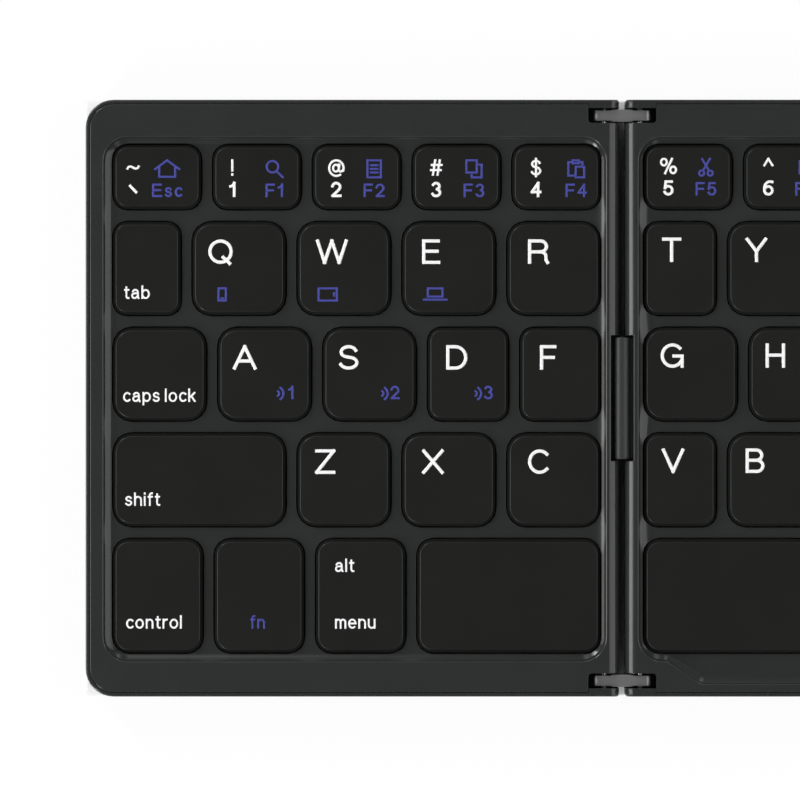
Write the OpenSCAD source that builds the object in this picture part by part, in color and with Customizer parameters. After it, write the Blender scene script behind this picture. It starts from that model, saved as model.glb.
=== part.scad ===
// Folding keyboard: two wings fold up and over a centre panel on pinned links.
// It lies open on its feet, +X to the user's right, +Y to the rear, +Z up, in millimetres.
// The origin is under the middle of the whole keyboard, where the feet stand.

/* [Key field] */
// Width of a letter key's opening
letter_w = 15.68; // [15:0.02:16.4]
// Width of the first key beside the left wing's upper letter row
tab_w = 11.48; // [10.6:0.02:13]
// Width of the narrower key beside the fold
narrow_w = 13.6; // [12.6:0.1:14.4]
// Width of a bottom-row key's opening
modifier_w = 15.1; // [14:0.1:16]
// Width of the first key on a centre row that starts half a step in
starter_w = 12.2; // [11.2:0.1:13.2]
// Width of the last key on the centre panel's upper letter row
ender_w = 11.6; // [10.8:0.1:13]
// Depth of the number row's openings
number_d = 10.95; // [10:0.05:12]
// Depth of the letter rows' openings
letter_d = 15.64; // [14.6:0.02:16.6]
// Depth of the bottom row's openings
bottom_d = 19.04; // [18:0.02:20]
// Web of the frame between two keys, side to side
web_x = 1.55; // [1.3:0.05:1.9]
// Web of the frame between two rows
web_y = 1.72; // [1.4:0.02:2]
// Corner radius of a letter key's opening
letter_r = 3.3; // [2.4:0.1:3.8]
// Corner radius of a number key's opening
number_r = 2.6; // [2:0.1:3.2]
// Corner radius of a bottom-row opening
bottom_r = 2.8; // [2.2:0.1:3.4]
// Corner radius of a narrow key's opening
narrow_r = 2.4; // [2:0.1:3]

/* [Keys] */
// Clearance round a key in its opening
key_clear = 0.6; // [0.45:0.05:0.7]
// Travel of a key
key_travel = 1; // [0.8:0.1:1.2]
// Slope inwards of a key's top edge
key_bevel = 0.2; // [0.15:0.05:0.4]
// Height of that slope
key_bevel_h = 0.2; // [0.15:0.05:0.4]
// Key tops below the rim
key_sunk = 0.35; // [0.25:0.05:0.6]
// Thickness of a key
key_t = 2.1; // [1.9:0.05:2.3]
// Wall of a key
key_wall = 0.9; // [0.7:0.05:1.1]
// Depth of the hollow under a key
key_hollow = 0.9; // [0.6:0.05:1.1]
// Gap between the two halves of the split arrow key
split_gap = 0.5; // [0.4:0.05:0.8]

/* [Panels] */
// From the outer end of a wing to its openings
end_band = 4.3; // [4:0.05:5.5]
// From the middle of a hinge to the openings beside it
fold_band = 3.4; // [3.35:0.05:4.2]
// From the rear edge to the number row
rear_band = 7.2; // [7:0.05:8]
// From the front edge to the bottom row
front_band = 7; // [7:0.05:8]
// Thickness of a panel without its feet
shell_t = 7.15; // [7:0.05:8]
// Corner radius at the free end of a wing
outer_r = 4.6; // [3:0.1:6]
// Corner radius beside a hinge
fold_corner_r = 0.4; // [0.3:0.1:1.5]
// Rounding of a frame's outer edge
edge_r = 0.15; // [0.1:0.01:0.2]
// Rounding of the bottom edge
base_r = 0.9; // [0.5:0.05:1.1]
// Wall thickness of the frames
wall = 1.2; // [1:0.05:1.4]
// Thickness of the frame between the keys
skin_t = 1.2; // [1:0.05:1.4]
// Floor thickness of the bottom cases
case_t = 1.2; // [1:0.05:1.3]
// Wall of a bottom case, which shows from above as a border round the frame
border_t = 0.66; // [0.5:0.02:0.8]
// Gap between that wall and the frame
border_gap = 0.08; // [0.05:0.01:0.1]
// Top of that wall below the rim
border_drop = 0.1; // [0.05:0.01:0.2]
// Rounding of that wall's outer edge
border_r = 0.3; // [0.2:0.02:0.36]

/* [Well] */
// Depth of the well that the keys stand in
well_depth = 1.2; // [0.9:0.05:1.4]
// Run of the well's hollow wall, from the rim to the floor
well_run = 2.3; // [1.6:0.05:2.6]
// Rounding of the rim over that wall
rim_r = 0.15; // [0.08:0.01:0.2]
// Corner radius of the well at the rim
well_r = 4; // [3:0.1:5]
// Rim beside the outer end of a wing
well_end = 2.95; // [2.6:0.05:3.2]
// Rim beside the hinge, from the middle of the hinge
well_fold = 2.7; // [2.6:0.05:2.9]
// Rim at the rear
well_rear = 6.1; // [6:0.05:6.3]
// Rim at the front
well_front = 5.8; // [5.7:0.05:6]
// Rim left in front of the centre panel's trough
trough_rim = 2.1; // [1.9:0.05:2.6]
// Start of the trough's slanted end, from the middle of the hinge
trough_start = 7.5; // [7:0.1:9]
// Length of the trough's slanted end
trough_run = 5.3; // [4:0.1:7]
// Corner radius of the trough at the rim
trough_r = 3; // [2.7:0.1:4]

/* [Hinges] */
// Gap between two panels, laid flat
hinge_gap = 1; // [0.9:0.05:1.2]
// Gap between the rims when the keyboard is folded
closed_gap = 0.5; // [0.3:0.05:0.8]
// Gap between the two wings' ends when both are folded
meeting_gap = 1.5; // [1:0.1:3]
// Depth of the hinge pins below the rim
pin_depth = 2.75; // [2.7:0.05:2.9]
// Diameter of a hinge pin
pin_d = 1; // [0.8:0.05:1.2]
// Running clearance round a pin
pin_clear = 0.05; // [0.03:0.01:0.08]
// Rounding of the folding edges
fold_r = 2; // [1.9:0.05:2.1]
// End radius of a link
link_r = 1.75; // [1.5:0.05:1.85]
// Radius of a link's upper corners
link_nose_r = 0.8; // [0.6:0.1:1.4]
// Thickness of a link at its ends
link_t = 1.75; // [1.5:0.05:1.9]
// Thickness of a link at its middle
link_waist_t = 2.05; // [1.9:0.05:2.15]
// Length of that thicker middle
link_waist = 3.4; // [2.6:0.1:4]
// Width of a link's slot
slot_w = 2.45; // [2.35:0.05:2.7]
// Length of a link's slot over both panels
slot_len = 11.2; // [10.8:0.1:11.8]
// Corner radius of that slot
slot_r = 0.6; // [0.4:0.05:0.9]
// Clearance under a link
link_clear = 0.25; // [0.2:0.05:0.3]
// Wall outside a link's slot
lug_t = 1.35; // [1.2:0.05:1.5]
// Skin that closes the outer end of a pin's bore
pin_skin = 0.5; // [0.4:0.05:0.7]
// End play of a pin in its bore
pin_play = 0.1; // [0.05:0.01:0.2]
// Length of the solid block that holds a pin, from the middle of the hinge
block_len = 7; // [6.8:0.1:7.4]

/* [Cable bridges] */
// Diameter of the tube that covers the flat cable at each hinge
bridge_d = 2.8; // [2.6:0.05:2.9]
// Length of that tube
bridge_len = 20; // [14:0.5:26]
// Depth of the tube's middle below the rim
bridge_depth = 1.75; // [1.7:0.05:1.8]
// Clearance round the tube in its notch
bridge_clear = 0.45; // [0.42:0.01:0.5]
// Clearance at each end of the tube
bridge_end_clear = 0.3; // [0.2:0.05:0.5]
// Wall of the frame behind the notch
notch_wall = 1.2; // [1:0.05:1.25]
// Thickness of the tongue that carries the tube
tongue_t = 0.8; // [0.6:0.05:1]

/* [Inside] */
// Height of the ribs under a switch plate
rib_h = 0.7; // [0.65:0.05:0.8]
// Thickness of those ribs
rib_t = 0.9; // [0.7:0.05:1.2]
// Thickness of a switch plate
plate_t = 0.5; // [0.4:0.05:0.55]
// Thickness of a dome sheet
sheet_t = 0.3; // [0.2:0.05:0.35]
// Height left of a rubber dome when its key is down
dome_squash = 0.5; // [0.3:0.05:0.6]
// Gap between a dome and the key on it
dome_gap = 0.1; // [0.05:0.01:0.2]
// Diameter at the foot of a rubber dome
dome_d = 5.2; // [4.5:0.1:6]
// Diameter at the top of a rubber dome
dome_top_d = 3; // [2.4:0.1:3.6]
// Diameter of the boss under a key
boss_d = 2.4; // [2:0.1:2.8]
// Clearance round what drops into a panel
fit_clear = 0.1; // [0.05:0.01:0.15]
// Thickness of the circuit boards
board_t = 0.6; // [0.5:0.05:0.65]
// Length of the controller board
controller_w = 42; // [30:1:50]
// Depth of the controller board
controller_d = 13.4; // [12:0.2:15]
// Width of the charging port
port_w = 8.94; // [8.8:0.02:9.2]
// Height of the charging port
port_h = 3.2; // [3.1:0.02:3.26]
// Length of the charging port
port_l = 7.3; // [6.8:0.1:8]
// Sheet thickness of the charging port
port_t = 0.3; // [0.25:0.01:0.4]
// Place of the charging port along the centre panel
port_x = -20; // [-40:1:0]
// Length of the battery
battery_l = 46; // [30:1:52]
// Width of the battery
battery_w = 24; // [18:1:30]
// Thickness of the battery
battery_t = 2.5; // [2:0.05:2.6]
// Length of a magnet
magnet_l = 10; // [6:0.5:12]
// Width of a magnet
magnet_w = 3; // [2.4:0.1:3.2]
// Thickness of a magnet
magnet_t = 1.6; // [1:0.05:1.8]
// Middle of a wing's magnets, from its outer end
magnet_inset = 12; // [10:0.5:16]
// Clearance round a switch plate
plate_clear = 0.3; // [0.2:0.05:0.4]
// Place of the indicator lens along the centre panel
lens_x = 60; // [50:1:80]
// Diameter of the indicator lens
lens_d = 1.4; // [1:0.05:2]
// Thickness of the lens's flange
lens_flange = 0.5; // [0.4:0.05:0.8]

/* [Touchpad] */
// Depth of a click button's opening
click_d = 19.04; // [17:0.02:21]
// Travel of a click button
click_travel = 0.6; // [0.4:0.05:0.7]
// Top of the touchpad below the rim
pad_sunk = 0.75; // [0.5:0.05:0.9]
// Clearance round the touchpad
pad_clear = 0.15; // [0.1:0.05:0.25]
// Overlap of the touchpad's board on the frame round its opening
pad_lap = 0.35; // [0.25:0.05:0.4]
// Corner radius of the touchpad's opening
pad_r = 3.3; // [2:0.1:4]
// Side of a click switch
switch_w = 5.2; // [4:0.1:6]
// Play between a click button and its switch at rest, beyond its travel
click_play = 0.1; // [0.05:0.01:0.15]

/* [Feet] */
// Height of the feet below the cases
foot_h = 0.8; // [0.6:0.05:1]
// Bevel round the underside of a foot
foot_bevel = 0.3; // [0.1:0.05:0.4]
// Depth of a foot's pocket
foot_pocket = 0.4; // [0.3:0.05:0.5]
// Diameter of a foot
foot_d = 8; // [6:0.5:10]
// Middle of a foot from the panel's ends
foot_x = 11; // [10:0.5:14]
// Middle of a foot from the front and rear edges
foot_y = 9; // [8:0.5:12]

/* [Hidden] */
$fn = 48;
eps = 0.01;
over = 1;
corner_steps = 8;
key_steps = 4;
edge_step = 15;
well_step = 15;

// Key rows, left to right; a width of 0 takes what is left of the row, and the number keys share it
left_upper = [tab_w, letter_w, letter_w, letter_w, letter_w];
centre_upper = concat([starter_w], [for (k = [1:7]) letter_w], [ender_w]);
left_numbers = 5;
centre_numbers = 9;
left_rows = [
    shared(left_numbers, field_w(left_upper)),
    left_upper,
    [letter_w, letter_w, letter_w, narrow_w, 0],
    [0, letter_w, letter_w, letter_w],
    [modifier_w, modifier_w, modifier_w, 0]
];
centre_rows = [
    shared(centre_numbers, field_w(centre_upper)),
    centre_upper,
    concat([for (k = [1:7]) letter_w], [0]),
    concat([starter_w], [for (k = [1:6]) letter_w], [0]),
    concat([0], [for (k = [1:5]) modifier_w])
];
row_d = [number_d, letter_d, letter_d, letter_d, bottom_d];
row_r = [number_r, letter_r, letter_r, letter_r, bottom_r];
bottom_row = len(row_d) - 1;
split_key = 4;

function total(list, i = 0) = i < len(list) ? list[i] + total(list, i + 1) : 0;
function field_w(row) = total(row) + web_x * (len(row) - 1);
function shared(count, w) = [for (k = [1:count]) (w - web_x * (count - 1)) / count];
function filled(row, w) = [for (k = row) k > 0 ? k : w - total(row) - web_x * (len(row) - 1)];

left_field = field_w(left_upper);
centre_field = field_w(centre_upper);
left_w = end_band + left_field + fold_band;
centre_w = fold_band + centre_field + fold_band;
right_w = centre_w - left_w - meeting_gap;
right_field = right_w - end_band - fold_band;
length = left_w + centre_w + right_w;
field_d = total(row_d) + web_y * bottom_row;
depth = rear_band + field_d + front_band;

// The two hinges, and the two ends of each panel
hinge_x = [-length / 2 + left_w, length / 2 - right_w];
panel_x0 = [-length / 2, hinge_x[0] + hinge_gap / 2, hinge_x[1] + hinge_gap / 2];
panel_x1 = [hinge_x[0] - hinge_gap / 2, hinge_x[1] - hinge_gap / 2, length / 2];
left = 0;
centre = 1;
right = 2;
function hinges_of(p) = p == centre ? [0, 1] : p == left ? [0] : [1];
function side_of(p, h) = p == left || (p == centre && h == 1) ? -1 : 1;

// Heights
z_base = foot_h;
z_floor = z_base + case_t;
z_top = z_base + shell_t;
z_border = z_top - border_drop;
z_well = z_top - well_depth;
z_skin = z_well - skin_t;
z_plate = z_floor + rib_h;
z_sheet = z_plate + plate_t;
z_key_top = z_top - key_sunk;
z_boss = z_sheet + sheet_t + dome_squash + key_travel;
z_dome = z_boss - dome_gap;
z_pin = z_top - pin_depth;
z_slot = z_pin - link_r - link_clear;
z_bridge = z_top - bridge_depth;
z_pad = z_top - pad_sunk;
z_port = z_floor + board_t;
z_click = z_pad - key_t;

// Hinges
pin_spacing = 2 * pin_depth + closed_gap;
slot_y = depth / 2 - lug_t - slot_w / 2;
block_y = depth / 2 - well_rear;
pin_y0 = block_y + pin_play;
pin_y1 = depth / 2 - pin_skin - pin_play;
notch_x = bridge_d / 2 + bridge_clear;
notch_y = bridge_len / 2 + bridge_end_clear;

// Inside the panels
frame_gap = border_t + border_gap;
band = frame_gap + wall;
plate_fold = notch_x + notch_wall + fit_clear;
rib_y0 = block_y - plate_clear - rib_t;
rib_y1 = depth / 2 - band - controller_d - rib_t;
centre_ribs = 7;
left_ribs = 4;
magnet_y = depth / 2 - band - fit_clear - magnet_w / 2;
magnet_x = [panel_x0[0] + magnet_inset, panel_x1[2] - magnet_inset];
lens_y = depth / 2 - band - fit_clear - lens_flange - lens_d / 2;
port_tongue_t = 0.7;
tongue_w = port_w - port_h / 2 - 2 * port_t;

// Field rows from the rear to the front
function row_y1(r) = depth / 2 - rear_band - total([for (k = [0:1:r - 1]) row_d[k] + web_y]);
function row_y0(r) = row_y1(r) - row_d[r];
field_x0 = [panel_x0[0] + end_band, hinge_x[0] + fold_band];
field_w_of = [left_field, centre_field];

// One key opening as [x0, y0, x1, y1, corner radius]
function opening(p, rows, r, k) =
    let (
        widths = filled(rows[r], field_w_of[p]),
        x0 = field_x0[p] + total([for (j = [0:1:k - 1]) widths[j] + web_x]),
        narrow = r > 0 && r < bottom_row && widths[k] < (narrow_w + letter_w) / 2
    )
    [x0, row_y0(r), x0 + widths[k], row_y1(r), narrow ? narrow_r : row_r[r]];
function row_openings(p, rows, r) = [for (k = [0:len(rows[r]) - 1]) opening(p, rows, r, k)];
left_openings = [for (r = [0:bottom_row]) each row_openings(left, left_rows, r)];
centre_openings = [for (r = [0:bottom_row]) each row_openings(centre, centre_rows, r)];

// The split arrow key's opening as two halves, one behind the other
function halves(o) =
    let (mid = (o[1] + o[3]) / 2, half = split_gap / 2 - key_clear)
    [[o[0], mid + half, o[2], o[3], narrow_r], [o[0], o[1], o[2], mid - half, narrow_r]];
arrow_row = row_openings(centre, centre_rows, bottom_row);
arrow_keys = concat(
    [for (k = [1:len(arrow_row) - 1]) if (k != split_key) arrow_row[k]], halves(arrow_row[split_key])
);

// The touchpad's opening and the two click buttons' openings
pad_x0 = hinge_x[1] + fold_band;
pad_x1 = pad_x0 + right_field;
click_y1 = -depth / 2 + front_band + click_d;
pad_opening = [pad_x0, click_y1 + web_y, pad_x1, depth / 2 - rear_band, pad_r];
click_w = (right_field - web_x) / 2;
click_openings = [
    for (k = [0:1])
        let (x0 = pad_x0 + k * (click_w + web_x))
        [x0, click_y1 - click_d, x0 + click_w, click_y1, bottom_r]
];

left_key_names = [
    "key_esc", "key_1", "key_2", "key_3", "key_4",
    "key_tab", "key_q", "key_w", "key_e", "key_r",
    "key_caps_lock", "key_a", "key_s", "key_d", "key_f",
    "key_left_shift", "key_z", "key_x", "key_c",
    "key_control", "key_fn", "key_left_alt", "key_left_space"
];
centre_key_names = ["keys_number_row", "keys_upper_row", "keys_home_row", "keys_lower_row"];

// Points of a rounded rectangle, anticlockwise, with a radius for each corner
function corner(x, y, r, a, steps) = [
    for (k = [0:steps]) [x + r * cos(a + 90 * k / steps), y + r * sin(a + 90 * k / steps)]
];
function round_box(x0, y0, x1, y1, r, steps) = concat(
    corner(x0 + r[0], y0 + r[0], r[0], 180, steps), corner(x1 - r[1], y0 + r[1], r[1], 270, steps),
    corner(x1 - r[2], y1 - r[2], r[2], 0, steps), corner(x0 + r[3], y1 - r[3], r[3], 90, steps)
);
function inset_box(o, d, steps) =
    let (r = max(o[4] - d, 0.1))
    round_box(o[0] + d, o[1] + d, o[2] - d, o[3] - d, [r, r, r, r], steps);

// A panel's outline, drawn in by one distance at the outer edges and by another at the folding edges
function panel_outline(p, d, at_fold) =
    let (
        dw = p == left ? d : at_fold,
        de = p == right ? d : at_fold,
        w = max(p == left ? outer_r - d : fold_corner_r - at_fold, 0.1),
        e = max(p == right ? outer_r - d : fold_corner_r - at_fold, 0.1)
    )
    round_box(
        panel_x0[p] + dw, -depth / 2 + d, panel_x1[p] - de, depth / 2 - d, [w, e, e, w], corner_steps
    );

// A solid through rings of points, one above the other
module loft(rings, heights) {
    n = len(rings[0]);
    m = len(rings);
    points = [for (k = [0:m - 1]) for (q = rings[k]) [q[0], q[1], heights[k]]];
    sides = [
        for (k = [0:m - 2]) for (i = [0:n - 1])
            [k * n + i, (k + 1) * n + i, (k + 1) * n + (i + 1) % n, k * n + (i + 1) % n]
    ];
    bottom = [for (i = [0:n - 1]) i];
    top = [for (i = [n - 1:-1:0]) (m - 1) * n + i];
    polyhedron(points = points, faces = concat([bottom], sides, [top]));
}

module prism(points, z0, z1) {
    translate([0, 0, z0]) linear_extrude(z1 - z0) polygon(points);
}

module block(x0, y0, z0, x1, y1, z1) {
    translate([min(x0, x1), min(y0, y1), z0]) cube([abs(x1 - x0), abs(y1 - y0), z1 - z0]);
}

// A cylinder along Y
module bar(x, z, d, y0, y1) {
    translate([x, y1, z]) rotate([90, 0, 0]) cylinder(d = d, h = y1 - y0);
}

// A slot with round ends, seen along Y, for the charging port and its hole
module port_shape(grow, y0, y1) {
    d = port_h - 2 * port_t * (grow < 0 ? 1 : 0) + (grow > 0 ? 2 * grow : 0);
    w = port_w - port_h;
    z = z_port + port_h / 2;
    block(port_x - w / 2, y0, z - d / 2, port_x + w / 2, y1, z + d / 2);
    for (s = [-1, 1]) bar(port_x + s * w / 2, z, d, y0, y1);
}

// What a panel's frame and its case have in common at a hinge

module notch(h, side) {
    block(hinge_x[h] - side * hinge_gap, -notch_y, -over, hinge_x[h] + side * notch_x, notch_y, z_top + over);
}

module fold_edge(h, side) {
    x_edge = hinge_x[h] + side * hinge_gap / 2;
    x_round = x_edge + side * fold_r;
    z_round = z_top - fold_r;
    y = depth / 2 + over;
    difference() {
        block(x_edge - side * over, -y, z_round, x_round, y, z_top + over);
        bar(x_round, z_round, 2 * fold_r, -y - over, y + over);
    }
}

module pin_bores(h, side) {
    x = hinge_x[h] + side * pin_spacing / 2;
    d = pin_d + 2 * pin_clear;
    bar(x, z_pin, d, block_y - over, depth / 2 - pin_skin);
    bar(x, z_pin, d, -depth / 2 + pin_skin, -block_y + over);
}

// The lugs outside the links belong to the case, and stand in the frame's notches
module lug_space(h, side, from, to, z0, z1) {
    y0 = depth / 2 - lug_t;
    for (s = [-1, 1])
        block(hinge_x[h] + side * from, s * y0, z0, hinge_x[h] + side * to, s * (depth / 2 + over), z1);
}

module link_slots(h) {
    for (s = [-1, 1]) prism(
        round_box(
            hinge_x[h] - slot_len / 2, s * slot_y - slot_w / 2, hinge_x[h] + slot_len / 2,
            s * slot_y + slot_w / 2, s < 0 ? [eps, eps, slot_r, slot_r] : [slot_r, slot_r, eps, eps], key_steps
        ),
        z_slot, z_top + over
    );
}

// Frames

module frame_shell(p) {
    angles = [0:edge_step * 2:90];
    loft(
        concat(
            [panel_outline(p, frame_gap, 0)],
            [for (a = angles) let (d = edge_r * (1 - cos(a))) panel_outline(p, frame_gap + d, d)]
        ),
        concat([z_floor], [for (a = angles) z_top - edge_r + edge_r * sin(a)])
    );
}

module cavity(p) {
    difference() {
        prism(panel_outline(p, band, wall), z_floor - over, z_skin);
        for (h = hinges_of(p)) {
            side = side_of(p, h);
            x = hinge_x[h];
            for (s = [-1, 1]) block(
                x, s * block_y, z_floor - 2 * over, x + side * block_len, s * depth / 2, z_skin + over
            );
            block(
                x, -notch_y - notch_wall, z_floor - 2 * over,
                x + side * (notch_x + notch_wall), notch_y + notch_wall, z_skin + over
            );
        }
    }
}

// The hollow wall of the well: a quarter of an ellipse up from the floor, then the rounded rim,
// as pairs of distance in from the rim and height
wall_profile = concat(
    [for (a = [0:well_step:90 - eps])
        [well_run * (1 - sin(a)), z_well + (well_depth - rim_r) * (1 - cos(a))]],
    [for (a = [0, 45, 90]) [-rim_r * (1 - cos(a)), z_top - rim_r * (1 - sin(a))]],
    [[-rim_r, z_top + over]]
);

function well_box(p, d) =
    let (
        x0 = p == left ? panel_x0[p] + well_end : hinge_x[p - 1] + well_fold,
        x1 = p == right ? panel_x1[p] - well_end : hinge_x[p] - well_fold,
        r = well_r - d
    )
    round_box(
        x0 + d, -depth / 2 + well_front + d, x1 - d, depth / 2 - well_rear - d, [r, r, r, r], corner_steps
    );

module well(p) {
    loft([for (q = wall_profile) well_box(p, q[0])], [for (q = wall_profile) q[1]]);
}

// The finger trough in front of the centre panel's space key, with slanted and rounded ends
trough_rise = well_front - trough_rim;
trough_slant = norm([trough_run, trough_rise]) / trough_rise;
trough_mid = (hinge_x[0] + hinge_x[1]) / 2;
function trough_reach(y, d) =
    (hinge_x[1] - hinge_x[0]) / 2 - trough_start
    - (-depth / 2 + well_front - y) * trough_run / trough_rise - d * trough_slant;
function trough_ring(d) =
    let (
        y_back = -depth / 2 + well_front + well_run,
        y_round = -depth / 2 + trough_rim + trough_r,
        x_back = trough_reach(y_back, d),
        x_round = trough_reach(y_round, trough_r),
        lean = atan2(trough_run, trough_rise),
        arc = [
            for (k = [0:key_steps])
                let (a = 180 + lean + (90 - lean) * k / key_steps)
                [(trough_r - d) * cos(a) - x_round, y_round + (trough_r - d) * sin(a)]
        ]
    )
    concat(
        [[trough_mid - x_back, y_back]], [for (q = arc) [trough_mid + q[0], q[1]]],
        [for (k = [key_steps:-1:0]) [trough_mid - arc[k][0], arc[k][1]]], [[trough_mid + x_back, y_back]]
    );

module trough() {
    loft([for (q = wall_profile) trough_ring(q[0])], [for (q = wall_profile) q[1]]);
}

module frame(p, openings) {
    difference() {
        frame_shell(p);
        cavity(p);
        well(p);
        for (o = openings) prism(inset_box(o, 0, key_steps), z_skin - over, z_top + over);
        for (h = hinges_of(p)) {
            fold_edge(h, side_of(p, h));
            link_slots(h);
            lug_space(h, side_of(p, h), 0, slot_len / 2, z_floor - over, z_top + over);
            pin_bores(h, side_of(p, h));
            notch(h, side_of(p, h));
        }
        if (p == centre) {
            trough();
            port_shape(fit_clear, depth / 2 - port_l - fit_clear, depth / 2 + over);
            translate([lens_x, lens_y, z_skin - over])
                cylinder(d = lens_d + 2 * fit_clear, h = z_top - z_skin + 2 * over);
        }
    }
}

module centre_frame() { color("#303231") frame(centre, centre_openings); }
module left_frame() { color("#303231") frame(left, left_openings); }
module right_frame() { color("#303231") frame(right, concat([pad_opening], click_openings)); }

// Bottom cases

module case_tray(p) {
    base = [0:edge_step:90];
    rim = [0:edge_step * 2:90];
    loft(
        concat(
            [for (a = base) let (d = base_r * (1 - sin(a))) panel_outline(p, d, d)],
            [for (a = rim) let (d = border_r * (1 - cos(a))) panel_outline(p, d, d)]
        ),
        concat(
            [for (a = base) z_base + base_r * (1 - cos(a))],
            [for (a = rim) z_border - border_r + border_r * sin(a)]
        )
    );
}

module case_hollow(p) {
    difference() {
        prism(panel_outline(p, border_t, -over), z_floor, z_top + over);
        for (h = hinges_of(p))
            lug_space(h, side_of(p, h), -over, slot_len / 2 - border_gap, z_floor - over, z_top + 2 * over);
    }
}

module ribs(p, count) {
    x0 = p == left ? panel_x0[p] + outer_r : hinge_x[p - 1] + block_len;
    step = (hinge_x[p] - block_len - x0) / (count + 1);
    for (k = [1:count])
        block(x0 + k * step - rib_t / 2, -rib_y0, z_floor - over / 2, x0 + k * step + rib_t / 2, rib_y1, z_plate);
}

module case(p, rib_count) {
    difference() {
        union() {
            difference() {
                case_tray(p);
                case_hollow(p);
            }
            if (rib_count > 0) ribs(p, rib_count);
        }
        for (h = hinges_of(p)) {
            fold_edge(h, side_of(p, h));
            pin_bores(h, side_of(p, h));
            notch(h, side_of(p, h));
        }
        for (q = feet_at(p)) translate([q[0], q[1], z_base - over])
            cylinder(d = foot_d + 2 * fit_clear, h = foot_pocket + over);
        if (p == centre) port_shape(fit_clear, depth / 2 - border_t - over, depth / 2 + over);
    }
}

module centre_bottom_case() { color("#2b2c2c") case(centre, centre_ribs); }
module left_bottom_case() { color("#2b2c2c") case(left, left_ribs); }
module right_bottom_case() { color("#2b2c2c") case(right, 0); }

// Under the keys

function plate_box(p) = round_box(
    p == left ? panel_x0[p] + band + plate_clear : hinge_x[p - 1] + plate_fold, -block_y + plate_clear,
    hinge_x[p] - plate_fold, depth / 2 - port_l - plate_clear, [well_r, well_r, well_r, well_r], key_steps
);

module switch_plate(p) { color("silver") prism(plate_box(p), z_plate, z_sheet); }
module centre_switch_plate() { switch_plate(centre); }
module left_switch_plate() { switch_plate(left); }

module dome_sheet(p, keys) {
    color("#e8e6df") {
        prism(plate_box(p), z_sheet, z_sheet + sheet_t);
        for (o = keys) translate([(o[0] + o[2]) / 2, (o[1] + o[3]) / 2, z_sheet + sheet_t / 2])
            cylinder(d1 = dome_d, d2 = dome_top_d, h = z_dome - z_sheet - sheet_t / 2);
    }
}
module centre_dome_sheet() {
    dome_sheet(centre, concat([for (o = centre_openings) if (o != arrow_row[split_key]) o], halves(arrow_row[split_key])));
}
module left_dome_sheet() { dome_sheet(left, left_openings); }

// Electronics of the centre panel

module controller_board() {
    y1 = depth / 2 - band - fit_clear;
    color("darkgreen")
        block(port_x - controller_w / 2, y1 - controller_d, z_floor, port_x + controller_w / 2, y1, z_port);
}

module charging_port() {
    y0 = depth / 2 - port_l;
    z = z_port + port_h / 2;
    color("silver") {
        difference() {
            port_shape(0, y0, depth / 2);
            port_shape(-1, y0 + port_t, depth / 2 + over);
        }
        block(
            port_x - tongue_w / 2, y0, z - port_tongue_t / 2, port_x + tongue_w / 2, depth / 2 - over,
            z + port_tongue_t / 2
        );
    }
}

module indicator_lens() {
    color("white") translate([lens_x, lens_y, 0]) {
        translate([0, 0, z_skin - lens_flange]) cylinder(d = lens_d + 2 * lens_flange, h = lens_flange);
        translate([0, 0, z_skin - eps]) cylinder(d = lens_d, h = z_top - z_skin + eps);
    }
}

module magnets(places) {
    color("#9a9a9a") for (x = places, s = [-1, 1]) block(
        x - magnet_l / 2, s * magnet_y - magnet_w / 2, z_skin - magnet_t,
        x + magnet_l / 2, s * magnet_y + magnet_w / 2, z_skin
    );
}
module left_magnets() { magnets([magnet_x[0]]); }
module right_magnets() { magnets([magnet_x[1]]); }
module centre_magnets() { magnets([for (h = [0, 1]) 2 * hinge_x[h] - magnet_x[h]]); }

// The tubes that cover the flat cable where it crosses a hinge
module cable_bridge(h) {
    side = side_of(centre, h);
    color("#1c1c1c") {
        bar(hinge_x[h], z_bridge, bridge_d, -bridge_len / 2, bridge_len / 2);
        block(
            hinge_x[h], -bridge_len / 2, z_bridge - tongue_t / 2, hinge_x[h] + side * notch_x,
            bridge_len / 2, z_bridge + tongue_t / 2
        );
    }
}
module left_cable_bridge() { cable_bridge(0); }
module right_cable_bridge() { cable_bridge(1); }

// Right wing: touchpad, click buttons and battery

module touchpad_plate() {
    rise = key_bevel_h / 2;
    color("#262626") loft(
        [for (d = [0, 0, rise]) inset_box(pad_opening, pad_clear + d, key_steps)],
        [z_skin, z_pad - rise, z_pad]
    );
}

module touchpad_board() {
    color("darkgreen") prism(inset_box(pad_opening, -pad_lap, key_steps), z_skin - board_t, z_skin);
}

module click_switch_board() {
    o = click_openings;
    y = (o[0][1] + o[0][3]) / 2;
    color("darkgreen") block(
        o[0][0], o[0][1] + band, z_floor, o[1][2], o[0][3] - band, z_floor + board_t
    );
    color("silver") for (k = o) block(
        (k[0] + k[2] - switch_w) / 2, y - switch_w / 2, z_floor + board_t / 2,
        (k[0] + k[2] + switch_w) / 2, y + switch_w / 2, z_click - click_travel - click_play
    );
}

module battery() {
    x = (pad_x0 + pad_x1) / 2;
    y = (pad_opening[1] + pad_opening[3]) / 2;
    r = battery_t / 2;
    color("#c9c9c9") prism(
        round_box(
            x - battery_l / 2, y - battery_w / 2, x + battery_l / 2, y + battery_w / 2, [r, r, r, r], key_steps
        ),
        z_floor, z_floor + battery_t
    );
}

// Feet

function feet_at(p) = [
    for (x = [panel_x0[p] + foot_x, panel_x1[p] - foot_x], s = [-1, 1]) [x, s * (depth / 2 - foot_y)]
];

module feet(p) {
    color("#1a1a1a") for (q = feet_at(p)) translate([q[0], q[1], 0]) {
        cylinder(d1 = foot_d - 2 * foot_bevel, d2 = foot_d, h = foot_bevel);
        translate([0, 0, foot_bevel]) cylinder(d = foot_d, h = foot_h + foot_pocket - foot_bevel);
    }
}
module centre_feet() { feet(centre); }
module left_feet() { feet(left); }
module right_feet() { feet(right); }

// Hinge links and pins

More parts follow.
